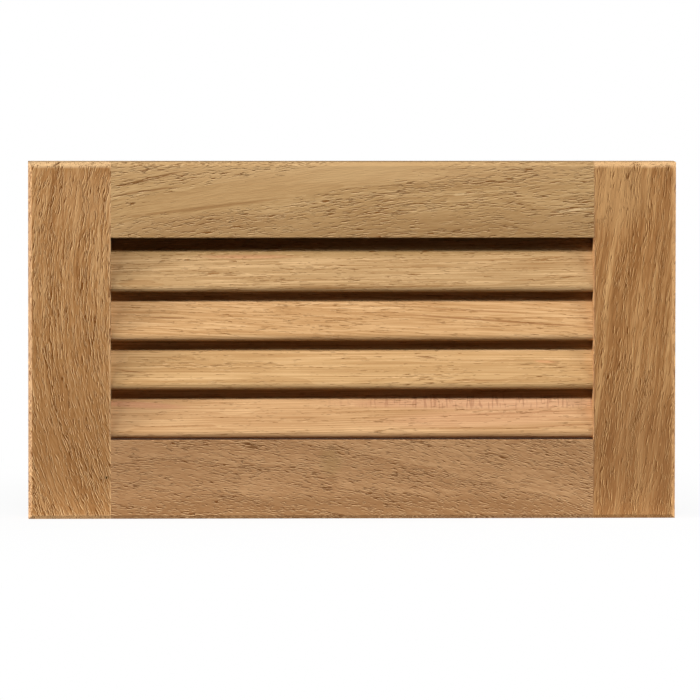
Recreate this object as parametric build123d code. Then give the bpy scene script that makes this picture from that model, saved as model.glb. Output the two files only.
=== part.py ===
from build123d import *
import math
import os

# Louvered vent insert in solid teak: two stiles, two rails tenoned between them, and fixed sloping
# slats whose ends sit in angled housings in the stiles. Millimetres. X runs across the front from
# left to right, Y from the front face to the back, Z up. The origin is under the middle of the
# bottom edge.

# Frame
overall_width = 381.0
overall_height = 210.0
frame_thickness = 22.0
stile_width = 48.5
top_rail_height = 44.6
bottom_rail_height = 46.6

# Edges: a chamfer round the outside of the front, sharp corners elsewhere taken off by sanding
front_chamfer = 2.2
arris_ease = 0.5

# Stub tenons of the rails and their mortises in the stiles
tenon_length = 24.0
tenon_thickness = 8.0
tenon_shoulder = 7.0
tenon_clearance = 0.1
mortise_end_gap = 0.5

# Slats: each one's upper edge stands behind the lower edge of the slat above, so that nothing shows
# straight through
slat_count = 4
slat_thickness = 6.0
slat_set_back = 1.5
slat_overlap = 2.9
gap_over_top_slat = 0.3
gap_under_bottom_slat = 0.8

# Housings in the stiles that hold the ends of the slats
housing_depth = 8.0
housing_clearance = 0.1
housing_end_gap = 0.5

# The opening between the stiles and rails
opening_width = overall_width - 2 * stile_width
opening_height = overall_height - top_rail_height - bottom_rail_height
opening_bottom = bottom_rail_height
opening_top = opening_bottom + opening_height
front_y = -frame_thickness / 2
back_y = frame_thickness / 2

# The slats share the opening's height, and lean back to fill the frame's thickness
slat_pitch = (opening_height - gap_over_top_slat - gap_under_bottom_slat - slat_overlap) / slat_count
slat_rise = slat_pitch + slat_overlap
slat_depth = frame_thickness - 2 * slat_set_back
edge_centre_rise = slat_rise - slat_thickness
edge_centre_depth = slat_depth - slat_thickness
slat_width = math.hypot(edge_centre_rise, edge_centre_depth) + slat_thickness
slat_slope = math.degrees(math.atan2(edge_centre_rise, edge_centre_depth))
slat_length = opening_width + 2 * (housing_depth - housing_end_gap)
top_slat_height = opening_top - gap_over_top_slat - slat_rise / 2
slat_heights = [top_slat_height - number * slat_pitch for number in range(slat_count)]


def slat_section(height, start_x, allowance):
    """Flat bar section with full-round edges, sloping up towards the back, grown by the allowance."""
    section = SlotOverall(slat_width + 2 * allowance, slat_thickness + 2 * allowance, rotation=slat_slope)
    return Plane.YZ.offset(start_x) * Pos(0, height) * section


def slat(height):
    """One slat, long enough to reach into the housings of both stiles."""
    return extrude(slat_section(height, -slat_length / 2, 0), slat_length)


def tenon_height(rail_height):
    """Height of a rail's tenon, between its upper and lower shoulders."""
    return rail_height - 2 * tenon_shoulder


def rail(rail_height, base_height, outer_side):
    """Rail with a stub tenon at each end. Its outer edge is its top if outer_side is 1, its bottom if -1."""
    outer_front = (0, front_y, outer_side * rail_height / 2)
    section = Plane.YZ * Rectangle(frame_thickness, rail_height)
    section = chamfer(section.vertices().sort_by_distance(outer_front)[0], front_chamfer)
    section = chamfer(section.vertices().sort_by_distance(outer_front)[2:], arris_ease)
    body = extrude(section, opening_width / 2, both=True)
    tenons = Box(opening_width + 2 * tenon_length, tenon_thickness, tenon_height(rail_height))
    return Pos(0, 0, base_height + rail_height / 2) * (body + tenons)


def mortise(rail_height, base_height):
    """Blind mortise in the left stile for one rail's tenon."""
    depth = tenon_length + mortise_end_gap
    width = tenon_thickness + 2 * tenon_clearance
    hole = Box(depth, width, tenon_height(rail_height) + 2 * tenon_clearance)
    return Pos(-opening_width / 2 - depth / 2, 0, base_height + rail_height / 2) * hole


def housing(height):
    """Angled, stopped housing in the left stile for one slat's end."""
    start_x = -opening_width / 2 - housing_depth
    return extrude(slat_section(height, start_x, housing_clearance), housing_depth)


def opening_arris(face_y, inwards):
    """Sliver off the left stile's corner at the front or back of the opening, between the rails."""
    inner_x = -opening_width / 2
    corner = (inner_x, face_y)
    across = (inner_x - arris_ease, face_y)
    into = (inner_x, face_y + inwards * arris_ease)
    sliver = extrude(Polygon(corner, across, into, align=None), opening_height, dir=(0, 0, 1))
    return Pos(0, 0, opening_bottom) * sliver


def left_stile():
    """Stile with its outer edges worked, the slivers of the opening off, and its mortises and housings."""
    body = Box(stile_width, frame_thickness, overall_height)
    front_outline = body.faces().sort_by(Axis.Y)[0].edges().sort_by(Axis.X)
    body = chamfer(front_outline[:-1], front_chamfer)
    back_outline = body.faces().sort_by(Axis.Y)[-1].edges().sort_by(Axis.X)
    body = chamfer(back_outline[:-1], arris_ease)
    body = Pos(-(opening_width + stile_width) / 2, 0, overall_height / 2) * body
    body -= opening_arris(front_y, 1)
    body -= opening_arris(back_y, -1)
    body -= mortise(bottom_rail_height, 0)
    body -= mortise(top_rail_height, opening_top)
    for height in slat_heights:
        body -= housing(height)
    return body


pieces = {
    "left_stile": left_stile(),
    "right_stile": mirror(left_stile(), about=Plane.YZ),
    "top_rail": rail(top_rail_height, opening_top, 1),
    "bottom_rail": rail(bottom_rail_height, 0, -1),
}
for number, height in enumerate(slat_heights, start=1):
    pieces[f"slat_{number}"] = slat(height)

os.makedirs("parts", exist_ok=True)
for name, piece in pieces.items():
    export_step(piece, f"parts/{name}.step")
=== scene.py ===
import bpy
import math
from mathutils import Matrix, Quaternion, Vector


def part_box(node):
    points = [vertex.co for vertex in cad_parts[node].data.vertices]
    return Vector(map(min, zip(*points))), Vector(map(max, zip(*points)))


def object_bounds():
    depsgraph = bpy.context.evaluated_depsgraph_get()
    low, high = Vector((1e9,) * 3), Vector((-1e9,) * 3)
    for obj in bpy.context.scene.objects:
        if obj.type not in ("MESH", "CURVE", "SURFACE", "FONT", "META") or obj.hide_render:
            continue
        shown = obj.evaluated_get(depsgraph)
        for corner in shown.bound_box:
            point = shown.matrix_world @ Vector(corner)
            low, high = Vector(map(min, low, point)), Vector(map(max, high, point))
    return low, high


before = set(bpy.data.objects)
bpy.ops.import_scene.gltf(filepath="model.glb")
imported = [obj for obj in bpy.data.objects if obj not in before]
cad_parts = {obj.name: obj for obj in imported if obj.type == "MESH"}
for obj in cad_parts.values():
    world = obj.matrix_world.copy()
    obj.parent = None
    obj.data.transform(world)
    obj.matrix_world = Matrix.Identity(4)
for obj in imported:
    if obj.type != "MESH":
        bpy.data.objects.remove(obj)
cad_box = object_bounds()

# Left stile: the full-height upright on the left, planed from one teak board with the grain running up.
# The rails' tenons are glued into its mortises, and the left ends of the slats sit in its housings.
mm = 0.001
front = cad_box[0][1]
upright = math.radians(-90)
left_lean = math.radians(-5)


def seen(red, green, blue):
    """A colour as it is seen, 0 to 255 a channel, in the linear numbers that the shaders take."""
    shares = [channel / 255 for channel in (red, green, blue)]
    linear = [share / 12.92 if share <= 0.04045 else ((share + 0.055) / 1.055) ** 2.4 for share in shares]
    return (*linear, 1.0)


def add_node(finish, kind, sockets, **settings):
    """Adds one shader node to a finish. Each socket takes a plain value, or an earlier node's output."""
    node = finish.node_tree.nodes.new(kind)
    for setting, value in settings.items():
        setattr(node, setting, value)
    for socket, value in sockets.items():
        if isinstance(value, bpy.types.NodeSocket):
            finish.node_tree.links.new(value, node.inputs[socket])
        else:
            node.inputs[socket].default_value = value
    return node


def maths(finish, operation, first, second=0.0, third=0.0):
    """One sum on up to three numbers."""
    numbers = {0: first, 1: second, 2: third}
    return add_node(finish, "ShaderNodeMath", numbers, operation=operation).outputs[0]


def ease(finish, value, start, end):
    """Goes smoothly from 0 at the start to 1 at the end."""
    sockets = {"Value": value, "From Min": start, "From Max": end}
    return add_node(finish, "ShaderNodeMapRange", sockets, interpolation_type="SMOOTHSTEP").outputs["Result"]


def tint(wood, share, under, over):
    """Lays one colour over another, by the share given."""
    return add_node(wood, "ShaderNodeMix", {0: share, 6: under, 7: over}, data_type="RGBA").outputs[2]


def tree_place(wood, grain, along, across, log, aside=0.0):
    """Place in the tree, counted in lengths along the grain and widths across it.

    Each log number is a place of its own in the tree, so that no two layers of a board are alike.
    """
    log_step = (7.3, 3.1, 5.7)
    log_start = [step * log for step in log_step]
    log_start[2] += aside / across
    sockets = {"Vector": grain, "Scale": (1 / along, 1 / across, 1 / across), "Location": log_start}
    return add_node(wood, "ShaderNodeMapping", sockets).outputs["Vector"]


def streaks(wood, grain, along, across, log, detail=2.0, aside=0.0):
    """Cloudy streaks of about that length and width, from 0 to 1."""
    place = tree_place(wood, grain, along, across, log, aside)
    sockets = {"Vector": place, "Scale": 1.0, "Detail": detail, "Roughness": 0.55}
    return add_node(wood, "ShaderNodeTexNoise", sockets).outputs[0]


def speckle(wood, grain, size, log, start, end):
    """Short strokes along the grain: 0 between them, up to 1 where the streaks pass from start to end."""
    return ease(wood, streaks(wood, grain, *size, log, detail=1.0), start, end)


def grain_place(wood, middle, turn, bow, waver, ragged, log):
    """Place in the board: along the grain, through the thickness and across the grain, in metres.

    The grain bows off its line with the square of the distance from the middle, wavers, and is ragged.
    """
    long_sway = (waver, 60 * mm, 25 * mm)
    short_sway = (ragged, 14 * mm, 4 * mm)
    place = add_node(wood, "ShaderNodeTexCoord", {}).outputs["Object"]
    sockets = {"Vector": place, "Location": middle, "Rotation": (0, turn, 0)}
    board = add_node(wood, "ShaderNodeMapping", sockets, vector_type="TEXTURE").outputs["Vector"]
    parts = add_node(wood, "ShaderNodeSeparateXYZ", {"Vector": board}).outputs
    across = maths(wood, "MULTIPLY_ADD", maths(wood, "MULTIPLY", parts["X"], parts["X"]), bow, parts["Z"])
    for sway, along, width in (long_sway, short_sway):
        drift = maths(wood, "SUBTRACT", streaks(wood, board, along, width, log, detail=1.0), 0.5)
        across = maths(wood, "MULTIPLY_ADD", drift, sway, across)
    sockets = {"X": parts["X"], "Y": parts["Y"], "Z": across}
    return add_node(wood, "ShaderNodeCombineXYZ", sockets).outputs["Vector"]


def growth_bands(wood, grain, log):
    """Yearly rings about the pith, which lies behind and beside the board.

    Each ring goes from 0 in its open, porous wood to 1 in its dense wood.
    """
    pith_behind = 90 * mm
    pith_beside = 60 * mm
    ring_width = 10 * mm
    stray = (80 * mm, 12 * mm)
    strayed_rings = 2.0
    sockets = {"Vector": grain, "Location": (0, -pith_behind, -pith_beside), "Scale": (0, 1, 1)}
    about_pith = add_node(wood, "ShaderNodeMapping", sockets).outputs["Vector"]
    radius = add_node(wood, "ShaderNodeVectorMath", {0: about_pith}, operation="LENGTH").outputs["Value"]
    uneven = maths(wood, "MULTIPLY", streaks(wood, grain, *stray, log), strayed_rings)
    return maths(wood, "FRACT", maths(wood, "MULTIPLY_ADD", radius, 1 / ring_width, uneven))


def toned(wood, tone, tones):
    """Colour for a tone from 0 to 1, through the tones from the darkest to the palest."""
    node = add_node(wood, "ShaderNodeValToRGB", {0: tone})
    elements = node.color_ramp.elements
    while len(elements) < len(tones):
        elements.new(0.5)
    for number, element in enumerate(elements):
        element.position = number / (len(tones) - 1)
        element.color = seen(*tones[number])
    return node.outputs["Color"]


def mark(across, height, length, width, lean, share, stain_and_painted_light, depth=12, rays=False, closed=False):
    """A mark on the front, either one of its stains and flaws or a patch of painted light and shade: where
    its middle is, its size and lean, how much it shows, its colour.

    Sizes are in millimetres, across from the vent's middle line and up from its foot. The lean is in degrees
    up from level, and the depth is how far in it goes. With rays it is broken up into ticks across the grain,
    and closed wood has no open pores.
    """
    return {"middle": (across * mm, front, height * mm), "lean": math.radians(lean), "share": share,
            "size": (length / 2 * mm, depth * mm, width / 2 * mm), "stain_and_painted_light": seen(*stain_and_painted_light),
            "rays": rays, "closed": closed}


def ray_ticks(wood, grain, log):
    """Short ticks across the grain, where the face cuts the rays of the tree: 0.5 on them, -0.5 between."""
    tick = (1.6 * mm, 12 * mm)
    tick_edge = (0.54, 0.62)
    return maths(wood, "SUBTRACT", speckle(wood, grain, tick, log, *tick_edge), 0.5)


def patch(wood, ragged, flaw_and_painted_light):
    """1 in the core of a mark, 0 outside, with an edge that is ragged along the grain."""
    core = 0.6
    place = add_node(wood, "ShaderNodeTexCoord", {}).outputs["Object"]
    sockets = {"Vector": place, "Location": flaw_and_painted_light["middle"], "Rotation": (0, -flaw_and_painted_light["lean"], 0),
               "Scale": flaw_and_painted_light["size"]}
    inside = add_node(wood, "ShaderNodeMapping", sockets, vector_type="TEXTURE").outputs["Vector"]
    ball = add_node(wood, "ShaderNodeTexGradient", {"Vector": inside}, gradient_type="SPHERICAL")
    ragged_ball = maths(wood, "MULTIPLY", ball.outputs["Fac"], maths(wood, "ADD", ragged, 0.5))
    return ease(wood, ragged_ball, 0.0, core)


def open_pores(wood, grain, pore, room, log, aside=0.0):
    """1 in the pores that the plane has cut open, and 0 on the wood between. More room opens more of them."""
    rim = (0.68, 0.72)
    found = maths(wood, "ADD", streaks(wood, grain, *pore, log, detail=1.0, aside=aside), room)
    return ease(wood, found, *rim)


def teak(node, log, turn, tones, line, lines, fibre, fibres, pore, pores, row, gather, bow=0.0, waver=4 * mm,
         ragged=0.8 * mm, clouds=0.35, painted_pore_highlights=0.8, relief=0.2 * mm, marks=()):
    """Planed teak for one board: rings, clouds, lines, fibres and open pores along the grain, and its marks.

    The log number picks its place in the tree, and the turn is that of its grain, from level. The tones are
    its darkest, middle and palest colours. A line, a fibre, a pore and a row of pores are each given by a
    length along the grain and a width across it. Lines, fibres, pores and clouds say how much of each there
    is. The share of painted highlights says how strongly a painted highlight, in the palest tone, is laid on
    one side of each open pore. Gather says how well the pores keep to their rows, and relief is how deep they
    are.
    """
    cloud = (70 * mm, 14 * mm)
    rings = 0.12
    fibre_edge = (0.36, 0.64)
    dense = 0.8
    porous = 0.2
    room_anywhere = 0.12
    room_if_porous = 0.06
    room_needed = 0.03
    room_if_closed = -0.4
    painted_highlight_offset = 0.4 * mm
    pore_shade = 0.85
    ridge_height = 0.3
    planed_roughness = 0.82
    pore_roughness = 0.12
    gloss = 0.02
    wood = bpy.data.materials.new(node + "_teak")
    wood.use_nodes = True
    wood.node_tree.nodes.clear()
    low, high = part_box(node)
    grain = grain_place(wood, (low + high) / 2, turn, bow, waver, ragged, log)

    year = growth_bands(wood, grain, log)
    long_clouds = streaks(wood, grain, *cloud, log + 1)
    long_lines = streaks(wood, grain, *line, log + 2, detail=3.0)
    ridges = speckle(wood, grain, fibre, log + 3, *fibre_edge)
    tone = 0.5
    for layer, share in ((year, rings), (long_clouds, clouds), (long_lines, lines), (ridges, fibres)):
        tone = maths(wood, "MULTIPLY_ADD", maths(wood, "SUBTRACT", layer, 0.5), share, tone)
    colour = toned(wood, tone, tones)

    # Pores find room in the porous wood and in their rows, and little in the dense wood between.
    open_wood = ease(wood, year, dense, porous)
    rows = streaks(wood, grain, *row, log + 5, detail=1.0)
    room = room_anywhere * pores - room_needed - gather / 2
    room = maths(wood, "MULTIPLY_ADD", open_wood, room_if_porous * pores, room)
    room = maths(wood, "MULTIPLY_ADD", rows, gather, room)
    # Each mark tints the colour; some are stains and flaws of the wood, and some are painted light or shade.
    for flaw_and_painted_light in marks:
        ragged_by = ray_ticks(wood, grain, log + 6) if flaw_and_painted_light["rays"] else long_lines
        inside = maths(wood, "MULTIPLY", patch(wood, ragged_by, flaw_and_painted_light), flaw_and_painted_light["share"])
        colour = tint(wood, inside, colour, flaw_and_painted_light["stain_and_painted_light"])
        if flaw_and_painted_light["closed"]:
            room = maths(wood, "MULTIPLY_ADD", inside, room_if_closed, room)

    holes = open_pores(wood, grain, pore, room, log + 4)
    # The pores moved a little to one side give a painted highlight, in the palest tone, along one side of
    # each pore.
    beside = open_pores(wood, grain, pore, room, log + 4, painted_highlight_offset)
    painted_pore_highlight = maths(wood, "MULTIPLY", beside, maths(wood, "SUBTRACT", 1.0, holes))
    darkest, _, palest = tones
    colour = tint(wood, maths(wood, "MULTIPLY", painted_pore_highlight, painted_pore_highlights), colour, seen(*palest))
    colour = tint(wood, maths(wood, "MULTIPLY", holes, pore_shade), colour, seen(*darkest))
    height = maths(wood, "MULTIPLY_ADD", ridges, ridge_height, maths(wood, "MULTIPLY", holes, -1.0))
    bump = add_node(wood, "ShaderNodeBump", {"Height": height, "Distance": relief}).outputs["Normal"]
    rough = maths(wood, "MULTIPLY_ADD", holes, pore_roughness, planed_roughness)
    sockets = {"Base Color": colour, "Roughness": rough, "Specular IOR Level": gloss, "Normal": bump}
    board = add_node(wood, "ShaderNodeBsdfPrincipled", sockets)
    add_node(wood, "ShaderNodeOutputMaterial", {"Surface": board.outputs["BSDF"]})
    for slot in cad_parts[node].material_slots:
        slot.material = wood


# Each mark below gives its place across and up, its length and width, its lean, its share and its colour.
# Some marks are painted light or shade, not colour of the wood, as their notes say.
teak("left_stile", log=1, turn=upright + left_lean, bow=1.6, ragged=2.6 * mm,
     tones=((108, 60, 20), (168, 121, 74), (224, 182, 130)), line=(40 * mm, 1.1 * mm), lines=0.75,
     fibre=(5 * mm, 0.7 * mm), fibres=0.14, pore=(5 * mm, 0.38 * mm), pores=0.8,
     row=(60 * mm, 2.4 * mm), gather=0.3, marks=(
         mark(-166, 209.4, 130, 7, 0, 0.8, (232, 192, 142), depth=40),  # pale end grain at the top
         mark(-166, 0.6, 130, 6, 0, 0.5, (220, 178, 130), depth=40),  # pale end grain at the foot
         mark(-173.5, 209.0, 8, 1.6, 31, 0.9, (96, 58, 28)),  # split in the top edge
         mark(-176.2, 186, 60, 2.2, 89, 0.6, (130, 82, 40)),  # dark streak near the top
         mark(-170.3, 188, 54, 2.0, 91, 0.5, (130, 82, 40)),  # second streak beside it
         mark(-160, 190, 40, 46, 90, 0.25, (196, 152, 104)),  # paler upper end: painted light, as the light is stronger near the top
         mark(-166, 30, 150, 80, 90, 0.3, (146, 100, 58)),  # darker lower end: painted shade, as the light falls off towards the foot
         mark(-144.7, 24.6, 3.0, 2.6, 0, 1.0, (44, 24, 10)),  # pin hole beside the bottom rail
         mark(-188.8, 0.6, 7, 2.4, 0, 0.6, (120, 80, 44)),  # bruised lower corner
         mark(-190, 105, 500, 4.5, 90, 0.6, (170, 140, 110)),  # greyer outer bevel
         mark(-142.2, 105, 300, 2.4, 90, 0.6, (224, 180, 130)),  # paler inner edge: painted light over the shaded inner arris
     ))

# Right stile: the same upright on the right, from a redder board of straighter grain.
# It is made and fixed as the left one.
right_lean = math.radians(7)
teak("right_stile", log=2, turn=upright + right_lean, waver=8 * mm, ragged=1.6 * mm,
     tones=((108, 60, 22), (167, 119, 72), (220, 174, 118)), line=(60 * mm, 2.2 * mm), lines=1.0,
     fibre=(9 * mm, 0.7 * mm), fibres=0.14, pore=(7 * mm, 0.36 * mm), pores=0.7,
     row=(60 * mm, 4 * mm), gather=0.35, relief=0.22 * mm, marks=(
         mark(166, 209.4, 130, 7, 0, 0.8, (238, 194, 142), depth=40),  # pale end grain at the top
         mark(190, 105, 500, 5.5, 90, 0.45, (222, 176, 124)),  # outer bevel, partly paler sanded wood and partly a painted highlight
         mark(170, 161, 56, 24, 82, 0.3, (146, 96, 50)),  # darker patch in the upper half
         mark(156, 192, 60, 50, 80, 0.5, (200, 156, 104)),  # paler upper end: painted light, as the light is stronger near the top
         mark(166, 25, 160, 90, 90, 0.42, (142, 98, 60)),  # darker lower end: painted shade, as the light falls off towards the foot
         mark(142.2, 105, 300, 2.4, 90, 0.5, (140, 106, 78)),  # greyer inner edge: painted shade that tones down the lit inner arris
         mark(179.7, 43.7, 12, 5, 84, 0.6, (160, 114, 70), closed=True),  # smooth spot
     ))

# Top rail: the cross piece over the slats, tenoned and glued between the stiles.
# Its teak is paler, and the grain climbs to the right across the board.
climb = math.radians(5.5)
teak("top_rail", log=3, turn=-climb, bow=0.18, waver=3 * mm, ragged=0.5 * mm,
     tones=((122, 74, 30), (181, 144, 97), (228, 192, 142)), line=(60 * mm, 1.2 * mm), lines=0.4,
     fibre=(7 * mm, 0.6 * mm), fibres=0.12, pore=(6 * mm, 0.34 * mm), pores=0.62,
     row=(60 * mm, 3.5 * mm), gather=0.28, marks=(
         mark(-20, 206, 460, 24, 0, 0.5, (204, 166, 118)),  # paler along the top: partly the board's tone, partly painted light from above
         mark(30, 168, 460, 30, 2, 0.5, (154, 117, 75)),  # darker along the bottom: partly the board's tone, partly painted shade
         mark(-51, 194.4, 240, 19, 8, 0.6, (190, 152, 104), closed=True),  # smooth band
         mark(2, 204, 84, 14, 6, 0.5, (198, 162, 114), closed=True),  # paler end of the band
         mark(-91, 182.8, 130, 2.6, 6.8, 0.5, (142, 100, 58)),  # thin dark line under the band
         mark(-90, 174, 150, 16, 4, 0.4, (152, 112, 72)),  # darker lower left
         mark(-120.5, 199.9, 54, 2.2, 13.4, 0.8, (118, 76, 38)),  # dark streak at the left end
         mark(-122, 193, 50, 2.0, 8.3, 0.6, (126, 84, 44)),  # second streak under it
         mark(128.7, 181.6, 34, 1.5, 7, 0.6, (236, 204, 156)),  # pale streak at the right end
         mark(62.8, 191, 9, 1.5, 7, 0.6, (236, 204, 156)),  # pale fleck
         mark(60.9, 188.7, 12, 5, 7, 0.6, (178, 141, 95), closed=True),  # smooth spot under the fleck
     ))

# Bottom rail: the taller cross piece under the slats, tenoned and glued between the stiles.
# Its grain falls to the right, and it is full of short open pores.
fall = math.radians(-11)
teak("bottom_rail", log=4, turn=-fall, bow=0.36, ragged=0.6 * mm, clouds=0.12,
     tones=((110, 64, 28), (174, 131, 90), (224, 182, 134)), line=(40 * mm, 1.2 * mm), lines=0.2,
     fibre=(5 * mm, 0.6 * mm), fibres=0.14, pore=(4.5 * mm, 0.36 * mm), pores=0.7,
     row=(30 * mm, 4 * mm), gather=0.25, marks=(
         mark(-115, 20, 120, 90, 0, 0.3, (150, 108, 70)),  # darker left end
         mark(0, 4, 500, 26, 0, 0.6, (136, 96, 60)),  # darker along the foot
         mark(-12.6, 34.2, 24, 18, 90, 0.35, (148, 120, 76)),  # olive patch
         mark(-59.6, 43.2, 14, 5, -20, 0.7, (108, 70, 38)),  # dark fleck near the top
         mark(0, 46.9, 1200, 1.0, 0, 0.8, (70, 24, 5), depth=60),  # painted shade on the top, in the dark gap under the last slat
     ))

# Slats: four straight-grained teak laths with round edges, sloping up towards the back.
# Their ends are pushed into the housings of the stiles before the frame is glued up.
# Marks on them go deep, because the slats lean away from the front.
slat_depth = 60
slats = (
    {"lean": 1.0, "pores": 0.36, "tone": (183, 147, 102), "marks": (
        mark(-62, 154.2, 76, 3.4, 0, 0.4, (222, 144, 112), slat_depth),  # pink streak
        mark(-20, 158.5, 460, 14, 0, 0.75, (160, 127, 82), slat_depth),  # darker along the top: painted shade, the soft edge of the top rail's shadow
    )},
    {"lean": -2.5, "pores": 0.3, "tone": (198, 154, 105), "marks": (
        mark(84, 116.5, 150, 1.5, -3.8, 0.7, (140, 92, 50), slat_depth),  # long dark line on the right
        mark(72, 122.2, 90, 1.3, -2.9, 0.5, (146, 96, 54), slat_depth),  # fainter line over it
        mark(-107, 118.2, 32, 1.5, -1, 0.6, (124, 80, 42), slat_depth),  # short dark streak on the left
    )},
    {"lean": 0.0, "pores": 0.22, "tone": (198, 157, 107), "marks": (
        mark(44, 94.7, 18, 1.3, -5, 0.6, (130, 84, 44), slat_depth),  # short dark streak
        mark(74.5, 81.5, 40, 1.1, 0, 0.5, (150, 104, 60), slat_depth),  # thin line near the lower edge
        mark(114, 92.1, 18, 2.0, -3, 0.4, (226, 156, 110), slat_depth),  # pink fleck
        mark(-131, 86.8, 24, 1.4, -8, 0.5, (150, 100, 58), slat_depth),  # brown streak at the left end
    )},
    {"lean": 1.0, "pores": 0.12, "tone": (198, 154, 108), "marks": (
        mark(80, 59, 170, 14, 2, 0.3, (216, 160, 124), slat_depth),  # pink right half
        mark(75, 67.5, 220, 10, 0, 0.4, (204, 150, 122), slat_depth),  # deeper pink along its top
        mark(-125, 66.7, 70, 5, -3, 0.4, (206, 140, 112), slat_depth),  # pink streak at the left end
        mark(102, 62, 110, 1.4, 2.2, 0.5, (160, 108, 70), slat_depth),  # thin line on the right
        mark(121, 54.4, 60, 1.3, 3, 0.45, (160, 108, 70), slat_depth),  # shorter line under it
        mark(80, 68.3, 240, 11, 0, 0.45, (150, 100, 72), slat_depth, rays=True),  # ticks along the top
    )},
)
for number, slat in enumerate(slats, start=1):
    teak(f"slat_{number}", log=10 + number, turn=math.radians(-slat["lean"]), waver=0.8 * mm, ragged=0.2 * mm,
         tones=((142, 94, 46), slat["tone"], (240, 200, 150)), line=(140 * mm, 0.6 * mm), lines=0.95,
         fibre=(80 * mm, 0.6 * mm), fibres=0.14, pore=(7 * mm, 0.36 * mm), pores=slat["pores"],
         row=(40 * mm, 3 * mm), gather=0.3, painted_pore_highlights=0.4, relief=0.15 * mm, marks=slat["marks"])

# Floor: a plain white sheet that the vent stands on. The camera sees it glow white, with a faint shadow.
# It throws hardly any light back up, as in a studio hung with black, except close to the vent, where its
# glow lights the lower bevel.
floor_size = 8
shadow_reach = 0.5
glow_share = 0.85
near_by = 15 * mm
clear_off = 40 * mm
bpy.ops.object.select_all(action="DESELECT")
bpy.ops.mesh.primitive_plane_add(size=floor_size)
floor = bpy.context.object
floor.name = "floor"
sheet = bpy.data.materials.new("white_sheet")
sheet.use_nodes = True
sheet.node_tree.nodes.clear()
floor.data.materials.append(sheet)


def in_view(world):
    """1 for what the camera sees, straight, in a reflection or through glass, and 0 for bounced light."""
    rays = add_node(world, "ShaderNodeLightPath", {}).outputs
    mirrored = maths(world, "MAXIMUM", rays["Is Glossy Ray"], rays["Is Transmission Ray"])
    return maths(world, "MAXIMUM", rays["Is Camera Ray"], mirrored)


def blend(share, under, over):
    """Lays one surface of the sheet over another, by the share given."""
    return add_node(sheet, "ShaderNodeMixShader", {0: share, 1: under, 2: over}).outputs[0]


glow = add_node(sheet, "ShaderNodeEmission", {"Color": (1, 1, 1, 1), "Strength": 1.0}).outputs[0]
paper = add_node(sheet, "ShaderNodeBsdfDiffuse", {"Color": (0.9, 0.9, 0.9, 1)}).outputs[0]
black = add_node(sheet, "ShaderNodeBsdfDiffuse", {"Color": (0.03, 0.03, 0.03, 1)}).outputs[0]
from_vent = add_node(sheet, "ShaderNodeTexCoord", {}).outputs["Object"]
far_off = add_node(sheet, "ShaderNodeVectorMath", {0: from_vent}, operation="LENGTH").outputs["Value"]
shadowed = blend(ease(sheet, far_off, 0.0, shadow_reach), paper, glow)
white = blend(glow_share, shadowed, glow)
front_to_back = add_node(sheet, "ShaderNodeSeparateXYZ", {"Vector": from_vent}).outputs["Y"]
close_by = ease(sheet, maths(sheet, "ABSOLUTE", front_to_back), clear_off, near_by)
thrown_back = blend(close_by, black, glow)
add_node(sheet, "ShaderNodeOutputMaterial", {"Surface": blend(in_view(sheet), thrown_back, white)})

# Light: four long soft boxes up in front, one more at the right edge, and a weak one behind.
# The backdrop is white to the camera, and gives the vent hardly any light.
fill = 0.003
backdrop = bpy.data.worlds.new("backdrop")
backdrop.use_nodes = True
backdrop.node_tree.nodes.clear()
bpy.context.scene.world = backdrop
strength = maths(backdrop, "MULTIPLY_ADD", in_view(backdrop), 1 - fill, fill)
shine = add_node(backdrop, "ShaderNodeBackground", {"Color": (1, 1, 1, 1), "Strength": strength}).outputs[0]
add_node(backdrop, "ShaderNodeOutputWorld", {"Surface": shine})
vent_middle = Vector((0, front, (cad_box[0][2] + cad_box[1][2]) / 2))


def soft_box(name, place, outwards, along, width, height, watts):
    """A flat lamp with its back turned outwards and its width along a line. The camera doesn't see it."""
    bpy.ops.object.light_add(type="AREA", location=place)
    lamp = bpy.context.object
    lamp.name = name
    lamp.rotation_euler = Matrix((along, outwards.cross(along), outwards)).transposed().to_euler()
    lamp.data.shape = "RECTANGLE"
    lamp.data.size = width
    lamp.data.size_y = height
    lamp.data.energy = watts
    lamp.visible_camera = False


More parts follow.
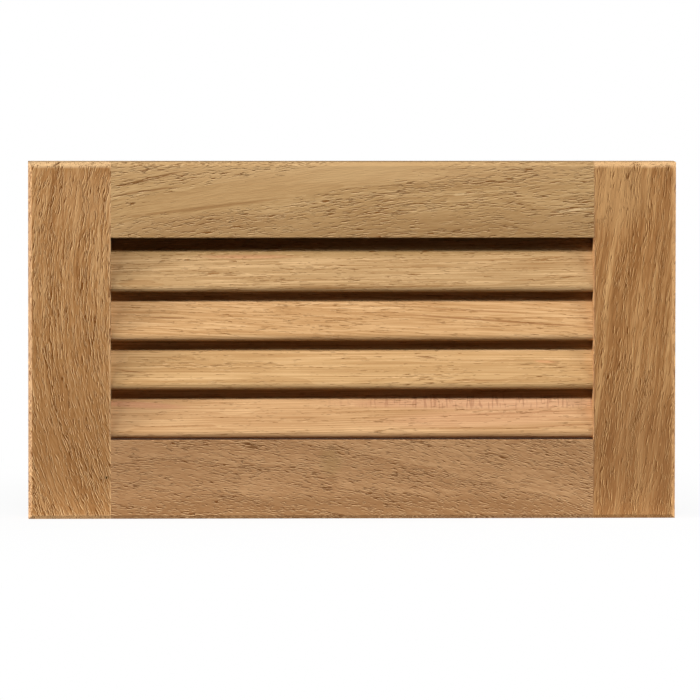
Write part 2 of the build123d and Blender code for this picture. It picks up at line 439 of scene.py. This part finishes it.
def strip(name, swing, distance, width, height, watts):
    """A long soft box up in front, swung to the right by some degrees.

    All of them lie in one slope, so that the shadows of the slats have one edge.
    """
    slope = math.radians(38.5)
    turn = math.radians(swing)
    outwards = Vector((math.sin(turn), -math.cos(turn) * math.cos(slope), math.cos(turn) * math.sin(slope)))
    along = Vector((math.cos(turn), math.sin(turn) * math.cos(slope), -math.sin(turn) * math.sin(slope)))
    soft_box(name, vent_middle + distance * outwards, outwards, along, width, height, watts)


def edge_lamp(name, azimuth, elevation, width, height, watts):
    """A soft box beside or behind the vent. Azimuth 0 is in front, 90 on the right and 180 behind."""
    distance = 1.6
    turn = math.radians(azimuth)
    rise = math.radians(elevation)
    outwards = Vector((math.sin(turn) * math.cos(rise), -math.cos(turn) * math.cos(rise), math.sin(rise)))
    along = Vector((math.cos(turn), math.sin(turn), 0))
    soft_box(name, vent_middle + distance * outwards, outwards, along, width, height, watts)


strip("key", swing=3, distance=1.6, width=0.6, height=0.16, watts=10.5)
strip("right", swing=48, distance=4.0, width=1.6, height=0.25, watts=62)
strip("left", swing=-50, distance=4.0, width=2.7, height=0.25, watts=80)
strip("far_left", swing=-78, distance=4.0, width=1.1, height=0.25, watts=215)
edge_lamp("right_edge", azimuth=95, elevation=5, width=0.4, height=0.9, watts=24)
edge_lamp("behind", azimuth=180, elevation=1, width=1.2, height=0.2, watts=3.5)

# Camera: a long lens five metres off, a little above the vent and to its left.
# It aims a little low and to the left, so the vent stands above the middle of the picture.
camera_distance = 5.0
camera_turn = math.radians(-2.3)
camera_rise = math.radians(3.45)
camera_roll = math.radians(0.08)
sensor_width = 36
picture_width = 700
metres_per_pixel = 0.588 * mm
aim = vent_middle - Vector((1.44 * mm, 0, 5.48 * mm))
bpy.ops.object.camera_add()
camera = bpy.context.object
bpy.context.scene.camera = camera
back = Vector((math.sin(camera_turn) * math.cos(camera_rise),
               -math.cos(camera_turn) * math.cos(camera_rise),
               math.sin(camera_rise)))
camera.location = vent_middle + back * camera_distance
roll = Quaternion((0, 0, 1), camera_roll)
camera.rotation_euler = ((camera.location - aim).to_track_quat("Z", "Y") @ roll).to_euler()
camera.data.sensor_width = sensor_width
camera.data.lens = sensor_width * camera_distance / (picture_width * metres_per_pixel)
bpy.context.scene.view_settings.view_transform = "Standard"
